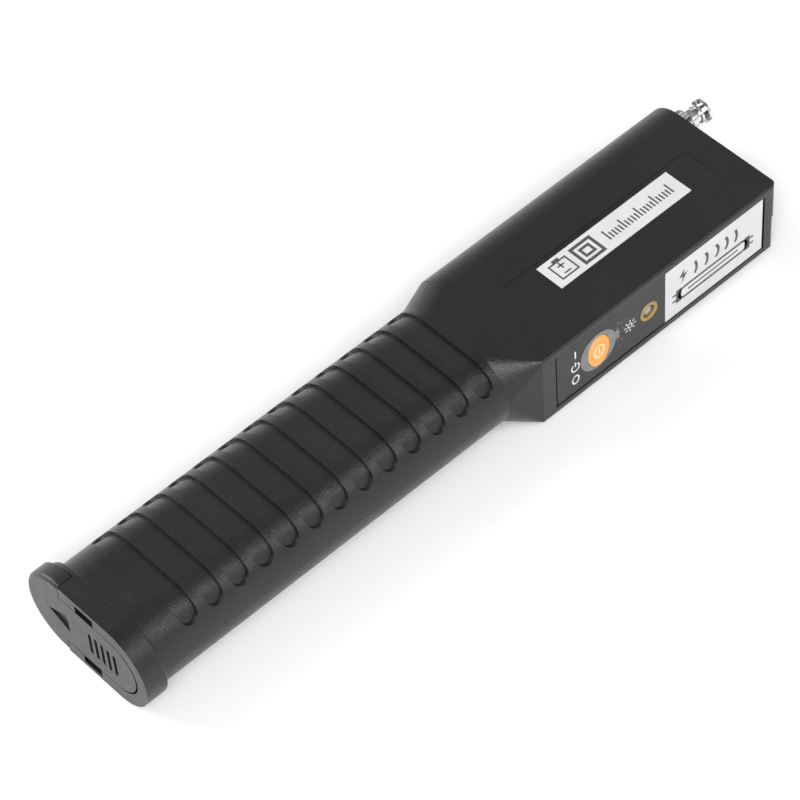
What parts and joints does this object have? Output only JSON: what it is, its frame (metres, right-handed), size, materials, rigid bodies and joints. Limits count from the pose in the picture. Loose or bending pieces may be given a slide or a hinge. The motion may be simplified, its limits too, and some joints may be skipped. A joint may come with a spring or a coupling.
{
  "type": "lamp tube tester",
  "caption": "Hand-held battery tester for neon tubes: ribbed handle with sliding battery door, head with side panel and button, and a telescopic antenna.",
  "frame": {"origin": "middle of the flat battery end face", "axes": "+X from the battery end to the antenna, +Z out of the labelled broad face, +Y to the rounded side of the head"},
  "size_m": [0.2773, 0.0559, 0.0306],
  "materials": {
    "black_plastic": "fine moulded texture, satin black",
    "dark_film": "printed dark film",
    "white_film": "white printed film",
    "orange_plastic": "orange button plastic",
    "grey_plastic": "light grey plastic",
    "lamp_clear": "diffused lamp lens",
    "gold_ring": "gold coloured ring",
    "chrome": "bright nickel or chrome plate",
    "brass": "bare brass",
    "plated_steel": "nickel plated spring steel",
    "screw_steel": "black zinc screw",
    "board_green": "solder mask on glass laminate",
    "black_part": "black moulding compound",
    "ferrite": "sintered ferrite",
    "bobbin_plastic": "bobbin plastic",
    "winding_tape": "yellow polyester tape on copper",
    "heat_sink_aluminium": "extruded aluminium",
    "capacitor_sleeve": "shrink sleeve",
    "film_capacitor_case": "dipped red case",
    "disc_ceramic": "blue coated ceramic disc",
    "resistor_body": "lacquered body",
    "cradle_plastic": "black cradle plastic",
    "cell_sleeve": "printed steel can",
    "wire_red": "soft insulation",
    "wire_black": "soft insulation",
    "wire_white": "high-voltage silicone insulation"
  },
  "bodies": {
    "housing": {"antenna_bushing": "chrome", "antenna_lead": "wire_white", "antenna_nut": "chrome", "antenna_section_1": "chrome", "antenna_tag": "brass", "battery_cell_1": "cell_sleeve", "battery_cell_2": "cell_sleeve", "battery_cell_3": "cell_sleeve", "battery_cell_4": "cell_sleeve", "battery_cell_5": "cell_sleeve", "battery_cell_6": "cell_sleeve", "battery_cradle": "cradle_plastic", "battery_spring_1": "plated_steel", "battery_spring_2": "plated_steel", "battery_spring_3": "plated_steel", "board_header": "black_part", "bridge_door_side": "plated_steel", "bridge_inner_side": "plated_steel", "button_bezel": "grey_plastic", "case_screws": "screw_steel", "control_board": "board_green", "disc_capacitors": "disc_ceramic", "face_label": "white_film", "film_capacitor": "film_capacitor_case", "heat_sink": "heat_sink_aluminium", "indicator_leads": "plated_steel", "indicator_lens": "lamp_clear", "indicator_ring": "gold_ring", "lower_shell": "black_plastic", "main_board": "board_green", "panel_label": "white_film", "panel_overlay": "dark_film", "power_transistor": "black_part", "resistors": "resistor_body", "side_panel": "black_plastic", "storage_capacitors": "capacitor_sleeve", "supply_contact_negative": "brass", "supply_contact_positive": "brass", "switch_body": "black_part", "terminal_negative": "plated_steel", "terminal_positive": "plated_steel", "transformer_bobbin": "bobbin_plastic", "transformer_core": "ferrite", "transformer_winding": "winding_tape", "upper_shell": "black_plastic", "wire_negative": "wire_black", "wire_positive": "wire_red"},
    "door": {"battery_door": "black_plastic"},
    "button": {"power_button": "orange_plastic", "switch_plunger": "black_part"},
    "antenna_2": {"antenna_section_2": "chrome"},
    "antenna_3": {"antenna_section_3": "chrome"},
    "antenna_4": {"antenna_section_4": "chrome"},
    "antenna_5": {"antenna_rod": "chrome", "antenna_tip": "chrome"}
  },
  "joints": [
    {"name": "door_slide", "type": "slide", "parent": "housing", "child": "door", "axis": [0, 1, 0], "range_m": [0, 0.03]},
    {"name": "button_press", "type": "slide", "parent": "housing", "child": "button", "axis": [0, 1, 0], "range_m": [0, 0.0006], "stiffness_N_per_m": 1200, "springref_m": -0.0004},
    {"name": "antenna_slide_2", "type": "slide", "parent": "housing", "child": "antenna_2", "axis": [1, 0, 0], "range_m": [0, 0.075]},
    {"name": "antenna_slide_3", "type": "slide", "parent": "antenna_2", "child": "antenna_3", "axis": [1, 0, 0], "range_m": [0, 0.075]},
    {"name": "antenna_slide_4", "type": "slide", "parent": "antenna_3", "child": "antenna_4", "axis": [1, 0, 0], "range_m": [0, 0.075]},
    {"name": "antenna_slide_5", "type": "slide", "parent": "antenna_4", "child": "antenna_5", "axis": [1, 0, 0], "range_m": [0, 0.075]}
  ]
}
